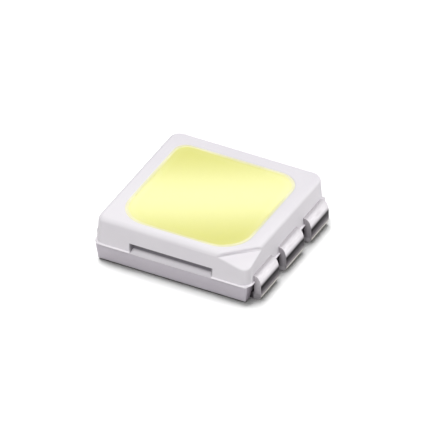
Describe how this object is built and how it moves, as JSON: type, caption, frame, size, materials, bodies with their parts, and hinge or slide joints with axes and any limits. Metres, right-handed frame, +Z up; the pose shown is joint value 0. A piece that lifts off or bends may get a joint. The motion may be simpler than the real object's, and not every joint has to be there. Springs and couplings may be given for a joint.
{
  "type": "smd led",
  "caption": "Square moulded surface-mount LED with a rounded phosphor window, a polarity notch at one corner and folded leads along two opposite sides.",
  "frame": {"origin": "middle of the footprint on the solder plane, under the feet", "axes": "+X across the two rows of leads towards the row beside the notch, +Y along the rows away from the notch, +Z up out of the window"},
  "size_m": [0.0054, 0.005, 0.0015],
  "materials": {
    "housing_plastic": "moulded white reflective plastic, satin",
    "phosphor_silicone": "pale yellow phosphor-filled silicone, soft gloss",
    "plated_lead": "bright silver plating over copper alloy",
    "chip": "polished crystal chip",
    "die_adhesive": "cured white adhesive",
    "bond_wire": "fine gold wire"
  },
  "bodies": {
    "root": {"housing": "housing_plastic", "encapsulant": "phosphor_silicone", "anode_lead_front": "plated_lead", "anode_lead_middle": "plated_lead", "anode_lead_back": "plated_lead", "cathode_lead_front": "plated_lead", "cathode_lead_middle": "plated_lead", "cathode_lead_back": "plated_lead", "led_chip_front": "chip", "led_chip_middle": "chip", "led_chip_back": "chip", "die_attach_front": "die_adhesive", "die_attach_middle": "die_adhesive", "die_attach_back": "die_adhesive", "anode_wire_front": "bond_wire", "anode_wire_middle": "bond_wire", "anode_wire_back": "bond_wire", "cathode_wire_front": "bond_wire", "cathode_wire_middle": "bond_wire", "cathode_wire_back": "bond_wire"}
  },
  "joints": []
}
